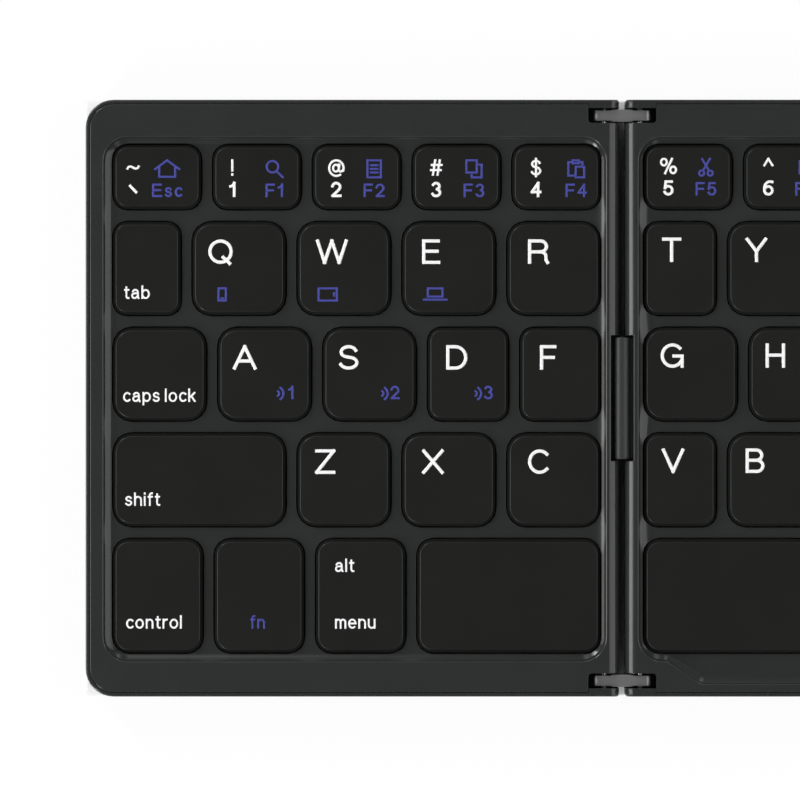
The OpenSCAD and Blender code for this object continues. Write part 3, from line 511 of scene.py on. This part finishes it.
# A plain sans serif drawn with one pen: the middle lines of each letter's strokes, cap height 1
dot = [(0, 0), (0, 0.03)]
bowl = ring(0.28, 0.35, 0.28, 0.35)
glyphs = {
    "A": [[(0, 0), (0.48, 1), (0.96, 0)], [(0.21, 0.33), (0.75, 0.33)]],
    "B": [[(0, 0), (0, 1), (0.42, 1)] + arc(0.42, 0.76, 0.26, 0.24, 90, -90) + [(0, 0.52)],
          [(0.4, 0.52)] + arc(0.45, 0.26, 0.28, 0.26, 90, -90) + [(0, 0)]],
    "C": [arc(0.47, 0.5, 0.47, 0.5, 44, 316, 18)],
    "D": [[(0, 0), (0, 1), (0.36, 1)] + arc(0.36, 0.5, 0.48, 0.5, 90, -90) + [(0, 0)]],
    "E": [[(0.7, 0), (0, 0), (0, 1), (0.68, 1)], [(0, 0.52), (0.63, 0.52)]],
    "F": [[(0, 0), (0, 1), (0.62, 1)], [(0, 0.5), (0.55, 0.5)]],
    "G": [arc(0.48, 0.5, 0.48, 0.5, 44, 336, 18), [(0.54, 0.48), (0.93, 0.48), (0.93, 0)]],
    "H": [[(0, 0), (0, 1)], [(0.76, 0), (0.76, 1)], [(0, 0.52), (0.76, 0.52)]],
    "I": [[(0, 0), (0, 1)]],
    "J": [[(0.5, 1)] + arc(0.25, 0.27, 0.25, 0.27, 0, -175)],
    "K": [[(0, 0), (0, 1)], [(0.72, 1), (0, 0.34)], [(0.26, 0.58), (0.76, 0)]],
    "L": [[(0, 1), (0, 0), (0.62, 0)]],
    "M": [[(0, 0), (0, 1), (0.47, 0.06), (0.94, 1), (0.94, 0)]],
    "N": [[(0, 0), (0, 1), (0.76, 0), (0.76, 1)]],
    "O": [ring(0.5, 0.5, 0.5, 0.5)],
    "P": [[(0, 0), (0, 1), (0.42, 1)] + arc(0.42, 0.73, 0.29, 0.27, 90, -90) + [(0, 0.46)]],
    "Q": [ring(0.5, 0.5, 0.5, 0.5), [(0.62, 0.24), (0.93, -0.05)]],
    "R": [[(0, 0), (0, 1), (0.5, 1)] + arc(0.5, 0.745, 0.29, 0.255, 90, -90) + [(0, 0.49)],
          [(0.46, 0.49)] + arc(0.5, 0.3, 0.26, 0.19, 90, 0, 5) + [(0.77, 0.12), (0.84, 0)]],
    "S": [arc(0.4, 0.755, 0.35, 0.245, 18, 235) + arc(0.4, 0.255, 0.39, 0.255, 62, -162)],
    "T": [[(0.38, 0), (0.38, 1)], [(0, 1), (0.76, 1)]],
    "U": [[(0, 1)] + arc(0.38, 0.37, 0.38, 0.37, 180, 360) + [(0.76, 1)]],
    "V": [[(0, 1), (0.45, 0), (0.9, 1)]],
    "W": [[(0, 1), (0.33, 0), (0.67, 1), (1.01, 0), (1.34, 1)]],
    "X": [[(0, 0), (0.86, 1)], [(0, 1), (0.86, 0)]],
    "Y": [[(0, 1), (0.43, 0.43), (0.86, 1)], [(0.43, 0.43), (0.43, 0)]],
    "Z": [[(0, 1), (0.8, 1), (0, 0), (0.8, 0)]],
    "0": [ring(0.31, 0.5, 0.31, 0.5)],
    "1": [[(0, 0.74), (0.2, 0.82), (0.3, 1), (0.3, 0)]],
    "2": [arc(0.3, 0.7, 0.3, 0.3, 170, -38) + [(0.02, 0), (0.62, 0)]],
    "3": [arc(0.29, 0.755, 0.26, 0.245, 155, -70), arc(0.29, 0.26, 0.31, 0.27, 75, -155)],
    "4": [[(0.48, 0), (0.48, 1), (0, 0.3), (0.64, 0.3)]],
    "5": [[(0.56, 1), (0.1, 1), (0.04, 0.5)] + arc(0.3, 0.32, 0.31, 0.32, 125, -155)],
    "6": [ring(0.31, 0.31, 0.31, 0.31), arc(0.45, 0.5, 0.45, 0.5, 70, 180) + [(0, 0.31)]],
    "7": [[(0, 1), (0.6, 1), (0.2, 0)]],
    "8": [ring(0.31, 0.76, 0.25, 0.24), ring(0.31, 0.26, 0.31, 0.26)],
    "9": [ring(0.31, 0.69, 0.31, 0.31), arc(0.17, 0.5, 0.45, 0.5, -110, 0) + [(0.62, 0.69)]],
    "~": [[(0, 0.42)] + arc(0.2, 0.44, 0.18, 0.13, 150, 40, 5)
          + arc(0.58, 0.56, 0.18, 0.13, 220, 330, 5) + [(0.78, 0.58)]],
    "`": [[(-0.06, 0.78), (0.4, 0.3)]],
    "!": [[(0, 1), (0, 0.3)], dot],
    "@": [arc(0.5, 0.46, 0.5, 0.54, -60, -378, 20), ring(0.47, 0.46, 0.2, 0.24),
          [(0.7, 0.7), (0.66, 0.3), (0.76, 0.22), (0.9, 0.26), (0.97, 0.36)]],
    "#": [[(0.14, 0), (0.3, 1)], [(0.46, 0), (0.62, 1)],
          [(0.06, 0.68), (0.74, 0.68)], [(0, 0.32), (0.68, 0.32)]],
    "$": [arc(0.3, 0.74, 0.27, 0.22, 20, 235) + arc(0.3, 0.27, 0.3, 0.24, 62, -160),
          [(0.3, 1.1), (0.3, -0.1)]],
    "%": [ring(0.2, 0.77, 0.2, 0.23), ring(0.84, 0.23, 0.2, 0.23), [(0.76, 1), (0.28, 0)]],
    "^": [[(0, 0.55), (0.28, 1), (0.56, 0.55)]],
    "&": [[(0.78, 0), (0.24, 0.62)] + arc(0.36, 0.8, 0.19, 0.2, 215, -45) + [(0.12, 0.4)]
          + arc(0.3, 0.24, 0.27, 0.24, 150, 340) + [(0.72, 0.42)]],
    "*": [[(0.22, 1.02), (0.22, 0.58)], [(0.03, 0.91), (0.41, 0.69)], [(0.03, 0.69), (0.41, 0.91)]],
    "(": [arc(0.42, 0.45, 0.42, 0.64, 130, 230)],
    ")": [arc(-0.26, 0.45, 0.42, 0.64, 50, -50)],
    "_": [[(0, -0.12), (0.62, -0.12)]],
    "-": [[(0, 0.4), (0.42, 0.4)]],
    "+": [[(0, 0.45), (0.62, 0.45)], [(0.31, 0.14), (0.31, 0.76)]],
    "=": [[(0, 0.6), (0.62, 0.6)], [(0, 0.32), (0.62, 0.32)]],
    "{": [[(0.3, 1.08), (0.15, 1.0), (0.15, 0.6), (0, 0.47), (0.15, 0.34), (0.15, -0.06), (0.3, -0.14)]],
    "}": [[(0, 1.08), (0.15, 1.0), (0.15, 0.6), (0.3, 0.47), (0.15, 0.34), (0.15, -0.06), (0, -0.14)]],
    "[": [[(0.24, 1.08), (0, 1.08), (0, -0.14), (0.24, -0.14)]],
    "]": [[(0, 1.08), (0.24, 1.08), (0.24, -0.14), (0, -0.14)]],
    "|": [[(0, 1.1), (0, -0.16)]],
    "\\": [[(0, 1.04), (0.38, -0.04)]],
    "/": [[(0.38, 1.04), (0, -0.04)]],
    ":": [dot, [(0, 0.5), (0, 0.55)]],
    ";": [[(0.03, 0.04), (0.03, -0.02), (-0.03, -0.18)], [(0.03, 0.5), (0.03, 0.55)]],
    '"': [[(0, 1), (0, 0.72)], [(0.26, 1), (0.26, 0.72)]],
    "'": [[(0, 1), (0, 0.72)]],
    "<": [[(0.62, 0.86), (0, 0.45), (0.62, 0.04)]],
    ">": [[(0, 0.86), (0.62, 0.45), (0, 0.04)]],
    ",": [[(0.03, 0.04), (0.03, -0.02), (-0.03, -0.18)]],
    ".": [dot],
    "?": [arc(0.27, 0.75, 0.27, 0.25, 175, -40) + [(0.27, 0.44), (0.27, 0.3)],
          [(0.27, 0), (0.27, 0.05)]],
    "a": [arc(0.27, 0.5, 0.22, 0.2, 165, 0) + [(0.49, 0.12), (0.56, 0)],
          [(0.49, 0.42)] + arc(0.22, 0.2, 0.22, 0.2, 85, 290) + [(0.49, 0.2)]],
    "b": [[(0, 0), (0, 1)], bowl],
    "c": [arc(0.28, 0.35, 0.28, 0.35, 46, 314)],
    "d": [bowl, [(0.56, 0), (0.56, 1)]],
    "e": [[(0.02, 0.37)] + arc(0.28, 0.35, 0.28, 0.35, 4, 312, 16)],
    "f": [[(0.12, 0)] + arc(0.29, 0.83, 0.17, 0.17, 180, 85, 6), [(0, 0.7), (0.3, 0.7)]],
    "h": [[(0, 0), (0, 1)], arc(0.26, 0.44, 0.26, 0.26, 180, 0) + [(0.52, 0)]],
    "i": [[(0, 0), (0, 0.7)], [(0, 0.96), (0, 1)]],
    "k": [[(0, 0), (0, 1)], [(0.46, 0.7), (0, 0.26)], [(0.18, 0.43), (0.48, 0)]],
    "l": [[(0, 0), (0, 1)]],
    "m": [[(0, 0), (0, 0.7)], arc(0.2, 0.46, 0.2, 0.24, 180, 0) + [(0.4, 0)],
          arc(0.6, 0.46, 0.2, 0.24, 180, 0) + [(0.8, 0)]],
    "n": [[(0, 0), (0, 0.7)], arc(0.25, 0.44, 0.25, 0.26, 180, 0) + [(0.5, 0)]],
    "o": [ring(0.29, 0.35, 0.29, 0.35)],
    "p": [[(0, -0.28), (0, 0.7)], bowl],
    "r": [[(0, 0), (0, 0.7)], arc(0.26, 0.4, 0.26, 0.3, 175, 85, 6)],
    "s": [arc(0.23, 0.53, 0.2, 0.17, 20, 235, 8) + arc(0.23, 0.18, 0.23, 0.18, 62, -160, 8)],
    "t": [[(0.13, 0.92)] + arc(0.27, 0.16, 0.14, 0.16, 180, 285, 6), [(0, 0.7), (0.3, 0.7)]],
    "u": [[(0, 0.7)] + arc(0.25, 0.26, 0.25, 0.26, 180, 360) + [(0.5, 0.7)], [(0.5, 0.3), (0.5, 0)]],
}


# Cuts a stroke where it turns sharply and runs each part on, so its width stays even and its corners fill
def penRuns(points, width):
    closed = points[0] == points[-1]
    points = points[:1] + [
        b for a, b in zip(points, points[1:])
        if (Vector(b) - Vector(a)).length > legendStyle["samePoint"]
    ]
    steps = [Vector(b) - Vector(a) for a, b in zip(points, points[1:])]
    turns = [before.angle(after) for before, after in zip(steps, steps[1:])]
    cuts = [k + 1 for k, turn in enumerate(turns) if turn > radians(legendStyle["sharpTurn"])]
    if closed and not cuts:
        return [points]
    runs = []
    for first, last in zip([0] + cuts, cuts + [len(points) - 1]):
        run = [Vector(point) for point in points[first:last + 1]]
        run[0] -= (run[1] - run[0]).normalized() * width * legendStyle["runOn"]
        run[-1] += (run[-1] - run[-2]).normalized() * width * legendStyle["runOn"]
        runs.append([tuple(point) for point in run])
    return runs


# A drawn line as a flattened tube, from points in millimetres
def inkLine(points, z, width):
    closed = points[0] == points[-1]
    places = points[:-1] if closed else points
    curve = bpy.data.curves.new("inkLine", "CURVE")
    curve.dimensions = "3D"
    curve.bevel_depth = width / 2
    curve.bevel_resolution = 1
    curve.use_fill_caps = True
    spline = curve.splines.new("POLY")
    spline.points.add(len(places) - 1)
    for point, place in zip(spline.points, places):
        point.co = (place[0], place[1], 0, 1)
    spline.use_cyclic_u = closed
    activate(addObject("inkLine", curve))
    bpy.ops.object.convert(target="MESH")
    ink = bpy.context.object
    ink.data.transform(Matrix.Diagonal((mm, mm, mm * legendStyle["film"] / width, 1)))
    ink.data.transform(Matrix.Translation((0, 0, z)))
    return ink


def drawn(strokes, x, y, scale, z, width):
    runs = [
        run for stroke in strokes
        for run in penRuns([(x + scale * px, y + scale * py) for px, py in stroke], width)
    ]
    return [inkLine(run, z + k * legendStyle["layer"] * mm, width) for k, run in enumerate(runs)]


# Letters with their left end or their middle at x and their foot at y
def inkText(text, x, y, style, z, centred):
    height, width, spacing = legendStyle[style]
    scale = height - width
    places, end = [], 0
    for letter in text:
        if letter == " ":
            end += legendStyle["space"]
            continue
        points = [point for stroke in glyphs[letter] for point in stroke]
        low = min(point[0] for point in points)
        places.append((letter, end - low))
        end += max(point[0] for point in points) - low + spacing
    end -= spacing
    start = x - end * scale / 2 if centred else x + width / 2
    return [
        line for letter, at in places
        for line in drawn(glyphs[letter], start + at * scale, y + width / 2, scale, z, width)
    ]


def rectangle(x0, y0, x1, y1):
    return [(x0, y0), (x1, y0), (x1, y1), (x0, y1), (x0, y0)]


# Small pictures, drawn with the same pen about their middles, in millimetres
speaker = [(-1.5, 0.45), (-0.8, 0.45), (0, 1.2), (0, -1.2), (-0.8, -0.45), (-1.5, -0.45), (-1.5, 0.45)]
icons = {
    "house": [[(-2.0, -0.05), (0, 1.4), (2.0, -0.05)],
              [(-1.3, 0.35), (-1.3, -1.3), (1.3, -1.3), (1.3, 0.35)]],
    "magnifier": [ring(-0.3, 0.35, 0.95, 0.95), [(0.4, -0.4), (1.35, -1.35)]],
    "page": [rectangle(-1.1, -1.4, 1.1, 1.4), [(-0.55, 0.6), (0.55, 0.6)], [(-0.55, 0), (0.55, 0)],
             [(-0.55, -0.6), (0.55, -0.6)]],
    "pages": [rectangle(-1.25, -0.6, 0.45, 1.4),
              [(0.8, 0.7), (1.25, 0.7), (1.25, -1.4), (-0.4, -1.4), (-0.4, -1.0)]],
    "clip": [[(-0.6, 1.1), (-1.3, 1.1), (-1.3, -1.1), (-0.5, -1.1)], [(0.6, 1.1), (1.0, 1.1), (1.0, 0.7)],
             rectangle(-0.6, 0.9, 0.4, 1.4), rectangle(-0.1, -1.4, 1.3, 0.35)],
    "scissors": [ring(-0.7, -0.95, 0.42, 0.42), ring(0.7, -0.95, 0.42, 0.42),
                 [(-0.5, -0.55), (0.65, 1.4)], [(0.5, -0.55), (-0.65, 1.4)]],
    "back": [[(1.2, 1.0), (-0.3, 0), (1.2, -1.0), (1.2, 1.0)], [(-1.0, 1.0), (-1.0, -1.0)]],
    "play": [[(-0.8, 1.1), (1.0, 0), (-0.8, -1.1), (-0.8, 1.1)]],
    "next": [[(-1.2, 1.0), (0.3, 0), (-1.2, -1.0), (-1.2, 1.0)], [(1.0, 1.0), (1.0, -1.0)]],
    "quiet": [speaker],
    "softer": [speaker, [(0.5, 0), (1.5, 0)]],
    "louder": [speaker, [(0.5, 0), (1.5, 0)], [(1.0, 0.5), (1.0, -0.5)]],
    "lock": [rectangle(-0.95, -1.3, 0.95, 0.1), arc(0, 0.3, 0.6, 0.8, 180, 0)],
    "phone": [rectangle(-0.6, -1.0, 0.6, 1.0), [(-0.15, -0.65), (0.15, -0.65)]],
    "tablet": [rectangle(-1.5, -1.0, 1.5, 1.0), [(1.05, -0.2), (1.05, 0.2)]],
    "laptop": [rectangle(-1.2, -0.35, 1.2, 1.0), [(-1.9, -0.85), (1.9, -0.85)]],
    "wave": [arc(-0.6, 0, 0.45, 0.45, -60, 60, 6), arc(-0.6, 0, 1.15, 1.15, -55, 55, 8)],
    "left": [[(1.2, 0), (-1.2, 0)], [(-0.4, 0.8), (-1.2, 0), (-0.4, -0.8)]],
    "right": [[(-1.2, 0), (1.2, 0)], [(0.4, 0.8), (1.2, 0), (0.4, -0.8)]],
    "up": [[(0, -1.1), (0, 1.1)], [(-0.8, 0.3), (0, 1.1), (0.8, 0.3)]],
    "down": [[(0, 1.1), (0, -1.1)], [(-0.8, -0.3), (0, -1.1), (0.8, -0.3)]],
}

# What the number keys say: symbol, digit, picture, name
numberMarks = [
    ("~", "`", "house", "Esc"), ("!", "1", "magnifier", "F1"), ("@", "2", "page", "F2"),
    ("#", "3", "pages", "F3"), ("$", "4", "clip", "F4"), ("%", "5", "scissors", "F5"),
    ("^", "6", "back", "F6"), ("&", "7", "play", "F7"), ("*", "8", "next", "F8"),
    ("(", "9", "quiet", "F9"), (")", "0", "softer", "F10"), ("_", "-", "louder", "F11"),
    ("+", "=", "lock", "F12"),
]


# A mark is (what, text, ink, x, y, style, centred), placed in mm to the right of and in front of the
# rear left corner of its key
def numberLegend(k, white=3.5, blue=9.7, rise=0.0):
    symbol, digit, icon, name = numberMarks[k]
    return [
        ("text", symbol, "inkWhite", white, 4.7 - rise, "symbol", True),
        ("text", digit, "inkWhite", white, 8.2 - rise, "digit", True),
        ("icon", icon, "inkBlue", blue, 3.55 - rise, None, True),
        ("text", name, "inkBlue", blue, 8.2 - rise, "blue", True),
    ]


def letterLegend(letter, x=2.5, y=6.5):
    return [("text", letter, "inkWhite", x, y, "letter", False)]


def wordLegend(word, x, y, ink="inkWhite"):
    return [("text", word, ink, x, y, "word", False)]


def pairLegend(upper, lower):
    return [
        ("text", upper, "inkWhite", 3.0, 5.2, "pair", False),
        ("text", lower, "inkWhite", 3.0, 9.9, "pair", False),
    ]


def iconLegend(icon, x, y, ink="inkBlue"):
    return [("icon", icon, ink, x, y, None, True)]


def deviceLegend(number, x, y):
    return iconLegend("wave", x, y) + [("text", number, "inkBlue", x + 1.75, y + 0.95, "blue", True)]


legends = {
    "key_esc": [numberLegend(0, 2.9, 8.5)],
    "key_1": [numberLegend(1, 2.8)],
    "key_2": [numberLegend(2)],
    "key_3": [numberLegend(3)],
    "key_4": [numberLegend(4, 3.5, 10.1)],
    "key_tab": [wordLegend("tab", 1.4, 12.25)],
    "key_q": [letterLegend("Q", 2.2) + iconLegend("phone", 4.5, 11.5)],
    "key_w": [letterLegend("W", 2.65) + iconLegend("tablet", 4.6, 11.5)],
    "key_e": [letterLegend("E", 2.85) + iconLegend("laptop", 5.0, 11.5)],
    "key_r": [letterLegend("R", 3.0)],
    "key_caps_lock": [wordLegend("caps lock", 1.25, 11.8)],
    "key_a": [letterLegend("A", 2.05) + deviceLegend("1", 9.8, 10.4)],
    "key_s": [letterLegend("S", 2.25) + deviceLegend("2", 9.7, 10.4)],
    "key_d": [letterLegend("D", 2.6) + deviceLegend("3", 7.8, 10.4)],
    "key_f": [letterLegend("F", 2.85)],
    "key_left_shift": [wordLegend("shift", 1.6, 11.5)],
    "key_z": [letterLegend("Z", 2.5, 6.25)],
    "key_x": [letterLegend("X", 2.85, 6.25)],
    "key_c": [letterLegend("C", 3.0, 6.25)],
    "key_control": [wordLegend("control", 1.75, 14.3)],
    "key_fn": [wordLegend("fn", 5.45, 14.3, "inkBlue")],
    "key_left_alt": [wordLegend("alt", 2.75, 5.0) + wordLegend("menu", 2.75, 14.3)],
    "keys_number_row": [
        *(numberLegend(k, 3.6, 9.75, 0.25) for k in range(5, len(numberMarks))),
        wordLegend("del", 4.2, 8.0),
    ],
    "keys_upper_row": [
        *(letterLegend(letter, 2.5, 6.2) for letter in "TYUIOP"),
        *(pairLegend(*pair) for pair in ("{[", "}]", "|\\")),
    ],
    "keys_home_row": [
        *(letterLegend(letter, 2.3, 6.2) for letter in "GHJKL"),
        *(pairLegend(*pair) for pair in (":;", "\"'")),
        wordLegend("enter", 14.5, 11.8),
    ],
    "keys_lower_row": [
        *(letterLegend(letter, 2.5, 6.1) for letter in "VBNM"),
        *(pairLegend(*pair) for pair in ("<,", ">.", "?/")),
        wordLegend("shift", 18.5, 11.5),
    ],
    "keys_alt_and_arrows": [
        wordLegend("alt", 2.75, 5.0),
        wordLegend("control", 1.75, 14.3),
        iconLegend("left", 6.9, 8.9, "inkWhite"),
        iconLegend("up", 6.9, 4.3, "inkWhite"),
        iconLegend("down", 6.9, 4.3, "inkWhite"),
        iconLegend("right", 6.9, 8.9, "inkWhite"),
    ],
}
inkNames = {"inkWhite": "_legend_white", "inkBlue": "_legend_blue"}

for node, keyMarks in legends.items():
    inks = {"inkWhite": [], "inkBlue": []}
    for (low, high), marks in zip(keyBoxes[node], keyMarks):
        for what, text, ink, x, y, style, centred in marks:
            px, py = low.x / mm + x, high.y / mm - y
            if what == "text":
                inks[ink] += inkText(text, px, py, style, high.z, centred)
            else:
                inks[ink] += drawn(icons[text], px, py, 1.0, high.z, legendStyle["iconStroke"])
    for ink, lines in inks.items():
        if lines:
            settle(joined(lines), node + inkNames[ink], ink, node, "key_plastic")
print("legends done")


# Hinge links, pins, feet, port and touchpad: merged copies with the real parts' soft edges

small = {
    "parts": [
        # CAD node, body, finish, slot, soft edge in mm
        ("left_hinge_links", "left_links", "link", "link_metal", 0.12),
        ("right_hinge_links", "right_links", "link", "link_metal", 0.12),
        ("left_hinge_pins", "left_links", "pin", "pin_steel", 0.06),
        ("right_hinge_pins", "right_links", "pin", "pin_steel", 0.06),
        ("centre_feet", "centre_panel", "rubber", "foot_rubber", 0.15),
        ("left_feet", "left_wing", "rubber", "foot_rubber", 0.15),
        ("right_feet", "right_wing", "rubber", "foot_rubber", 0.15),
        ("touchpad_plate", "right_wing", "pad", "pad_film", 0.05),
        ("charging_port", "centre_panel", "port", "port_steel", 0.04),
    ],
    "edgeAngle": 45,
    "smoothTo": 35,
}
for node, body, finish, slot, edge in small["parts"]:
    part = mergedCopy(node)
    softEdges(part, edge, small["edgeAngle"])
    smooth(part, small["smoothTo"])
    settle(part, node + "_detailed", finish, body, slot, node)
print("small parts done")


# Cable bridges: soft sleeves held by the centre panel, merged copies with soft edges that keep their
# shape as the wing turns

sleeves = {
    "bridges": [
        # CAD node, joint that squeezes it, its held end in mm, the way from that wing to this end
        ("left_cable_bridge", "left_wing_fold", -62.06, 1),
        ("right_cable_bridge", "right_wing_fold", 87.0, -1),
    ],
    "height": 6.2,  # mm, of the sleeve's middle above the table
    "keep": 0.5,  # of its width, when the wing has turned to its limit
    "edge": 0.25,
    "edgeAngle": 45,
    "edgeSteps": 3,
    "smoothTo": 40,
}
for node, joint, heldEnd, side in sleeves["bridges"]:
    sleeve = mergedCopy(node)
    softEdges(sleeve, sleeves["edge"], sleeves["edgeAngle"], sleeves["edgeSteps"])
    smooth(sleeve, sleeves["smoothTo"])
    settle(sleeve, node + "_sleeve", "bridge", "centre_panel", "bridge_plastic", node)
    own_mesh(sleeve)
print("cable bridges done")


# Inner parts keep their CAD shapes and get their real finishes

innerFinishes = {
    "centre_switch_plate": "plate", "left_switch_plate": "plate",
    "centre_dome_sheet": "dome", "left_dome_sheet": "dome",
    "controller_board": "laminate", "touchpad_board": "laminate", "click_switch_board": "laminate",
    "battery": "foil", "indicator_lens": "lens",
    "centre_magnets": "magnet", "left_magnets": "magnet", "right_magnets": "magnet",
}
for node, finish in innerFinishes.items():
    for materialSlot in cadNodes[node].material_slots:
        materialSlot.material = finishes[finish]
print("inner parts finished")


# Floor, light and camera

studio = {
    "white": "#ffffff",
    "floorSize": 6.0,
    "glow": 0.93,  # how much of the floor's white doesn't depend on the light, beside the keyboard
    "glowFrom": -0.1,  # mm outside the keyboard's outline, laid flat
    "glowTo": 0.2,
    "clearFrom": 1.0,  # mm outside it, from where the shadow fades away
    "clearTo": 45.0,
    "wallLow": 0.08,  # sine of the height up to which the studio's walls are white
    "wallHigh": 0.3,
    "ceiling": 0.03,
    "cameraAt": (-0.1004, -0.0003, 1.102),  # looking straight down
    "lens": 300,
    "sensor": 36,
    "farthest": 10,
}
white = hexColour(studio["white"])

# The floor is white paint in the light, and shows as plain white to the camera outside the outline
deselectAll()
bpy.ops.mesh.primitive_plane_add(size=studio["floorSize"], location=(0, 0, 0))
floor = bpy.context.object
floor.name = "floor"
material, tree, place = newMaterial("painted_studio_floor_white")
outward = addNode(tree, "ShaderNodeVectorMath", {"operation": "ABSOLUTE"}, i0=place)
beyond = addNode(
    tree, "ShaderNodeVectorMath", {"operation": "SUBTRACT"}, i0=outward.outputs[0],
    i1=(cadHigh[0], cadHigh[1], 0))
sides = addNode(tree, "ShaderNodeSeparateXYZ", Vector=beyond.outputs[0])
furthest = addNode(
    tree, "ShaderNodeMath", {"operation": "MAXIMUM"}, i0=sides.outputs["X"], i1=sides.outputs["Y"])
openFloor = addNode(
    tree, "ShaderNodeMapRange", Value=furthest.outputs[0], From_Min=studio["glowFrom"] * mm,
    From_Max=studio["glowTo"] * mm, To_Min=0.0, To_Max=studio["glow"])
clearFloor = addNode(
    tree, "ShaderNodeMapRange", Value=furthest.outputs[0], From_Min=studio["clearFrom"] * mm,
    From_Max=studio["clearTo"] * mm, To_Min=0.0, To_Max=1 - studio["glow"])
whiteFloor = addNode(
    tree, "ShaderNodeMath", {"operation": "ADD"}, i0=openFloor.outputs[0], i1=clearFloor.outputs[0])
lightPath = addNode(tree, "ShaderNodeLightPath")
cameraOrGlossy = addNode(
    tree, "ShaderNodeMath", {"operation": "MAXIMUM"},
    i0=lightPath.outputs["Is Camera Ray"], i1=lightPath.outputs["Is Glossy Ray"])
seen = addNode(
    tree, "ShaderNodeMath", {"operation": "MAXIMUM"},
    i0=cameraOrGlossy.outputs[0], i1=lightPath.outputs["Is Transmission Ray"])
share = addNode(
    tree, "ShaderNodeMath", {"operation": "MULTIPLY"}, i0=whiteFloor.outputs[0], i1=seen.outputs[0])
paint = addNode(tree, "ShaderNodeBsdfDiffuse", Color=white)
glow = addNode(tree, "ShaderNodeEmission", Color=white, Strength=1.0)
floorLook = addNode(
    tree, "ShaderNodeMixShader", i0=share.outputs[0], i1=paint.outputs[0], i2=glow.outputs[0])
addNode(tree, "ShaderNodeOutputMaterial", Surface=floorLook.outputs[0])
floor.data.materials.append(material)

# Long soft lamps round the keyboard, all turned to its middle, which draw the bright lines of its edges
lamps = [
    # name, place in metres, width, height, watts
    ("stripLeft", (-1.0, 0.0, 0.47), 0.45, 0.8, 5.1),
    ("panelRight", (0.89, 0.0, 0.65), 1.1, 1.3, 7.3),
    ("stripFrontLeft", (-0.69, -0.69, 0.51), 0.18, 0.5, 4.6),
    ("stripRearLeft", (-0.69, 0.69, 0.51), 0.18, 0.5, 4.6),
    ("stripRearNearLeft", (-0.3, 0.9, 0.55), 0.2, 0.9, 0.9),
    ("stripRearNearRight", (0.3, 0.9, 0.55), 0.2, 0.9, 0.9),
    ("stripFrontNearLeft", (-0.38, -0.87, 0.55), 0.2, 0.9, 0.6),
    ("stripFrontNearRight", (0.38, -0.87, 0.55), 0.2, 0.9, 0.6),
]
for name, place, width, height, power in lamps:
    light = bpy.data.lights.new(name, "AREA")
    light.shape = "RECTANGLE"
    light.size = width
    light.size_y = height
    light.energy = power
    lamp = addObject(name, light)
    lamp.location = place
    lamp.rotation_euler = (Vector() - Vector(place)).to_track_quat("-Z", "Y").to_euler()

world = bpy.data.worlds.new("whiteWallsDarkCeiling")
bpy.context.scene.world = world
world.use_nodes = True
tree = world.node_tree
tree.nodes.clear()
way = addNode(tree, "ShaderNodeTexCoord")
rise = addNode(tree, "ShaderNodeSeparateXYZ", Vector=way.outputs["Generated"])
wall = addNode(
    tree, "ShaderNodeMapRange", Value=rise.outputs["Z"], From_Min=studio["wallLow"],
    From_Max=studio["wallHigh"], To_Min=1.0, To_Max=studio["ceiling"])
studioWalls = addNode(tree, "ShaderNodeBackground", Color=white, Strength=wall.outputs[0])
addNode(tree, "ShaderNodeOutputWorld", Surface=studioWalls.outputs[0])

cameraData = bpy.data.cameras.new("camera")
cameraData.lens = studio["lens"]
cameraData.sensor_width = studio["sensor"]
cameraData.clip_end = studio["farthest"]
camera = addObject("camera", cameraData)
camera.location = studio["cameraAt"]
bpy.context.scene.camera = camera
bpy.context.scene.view_settings.view_transform = "Standard"
print("studio set")
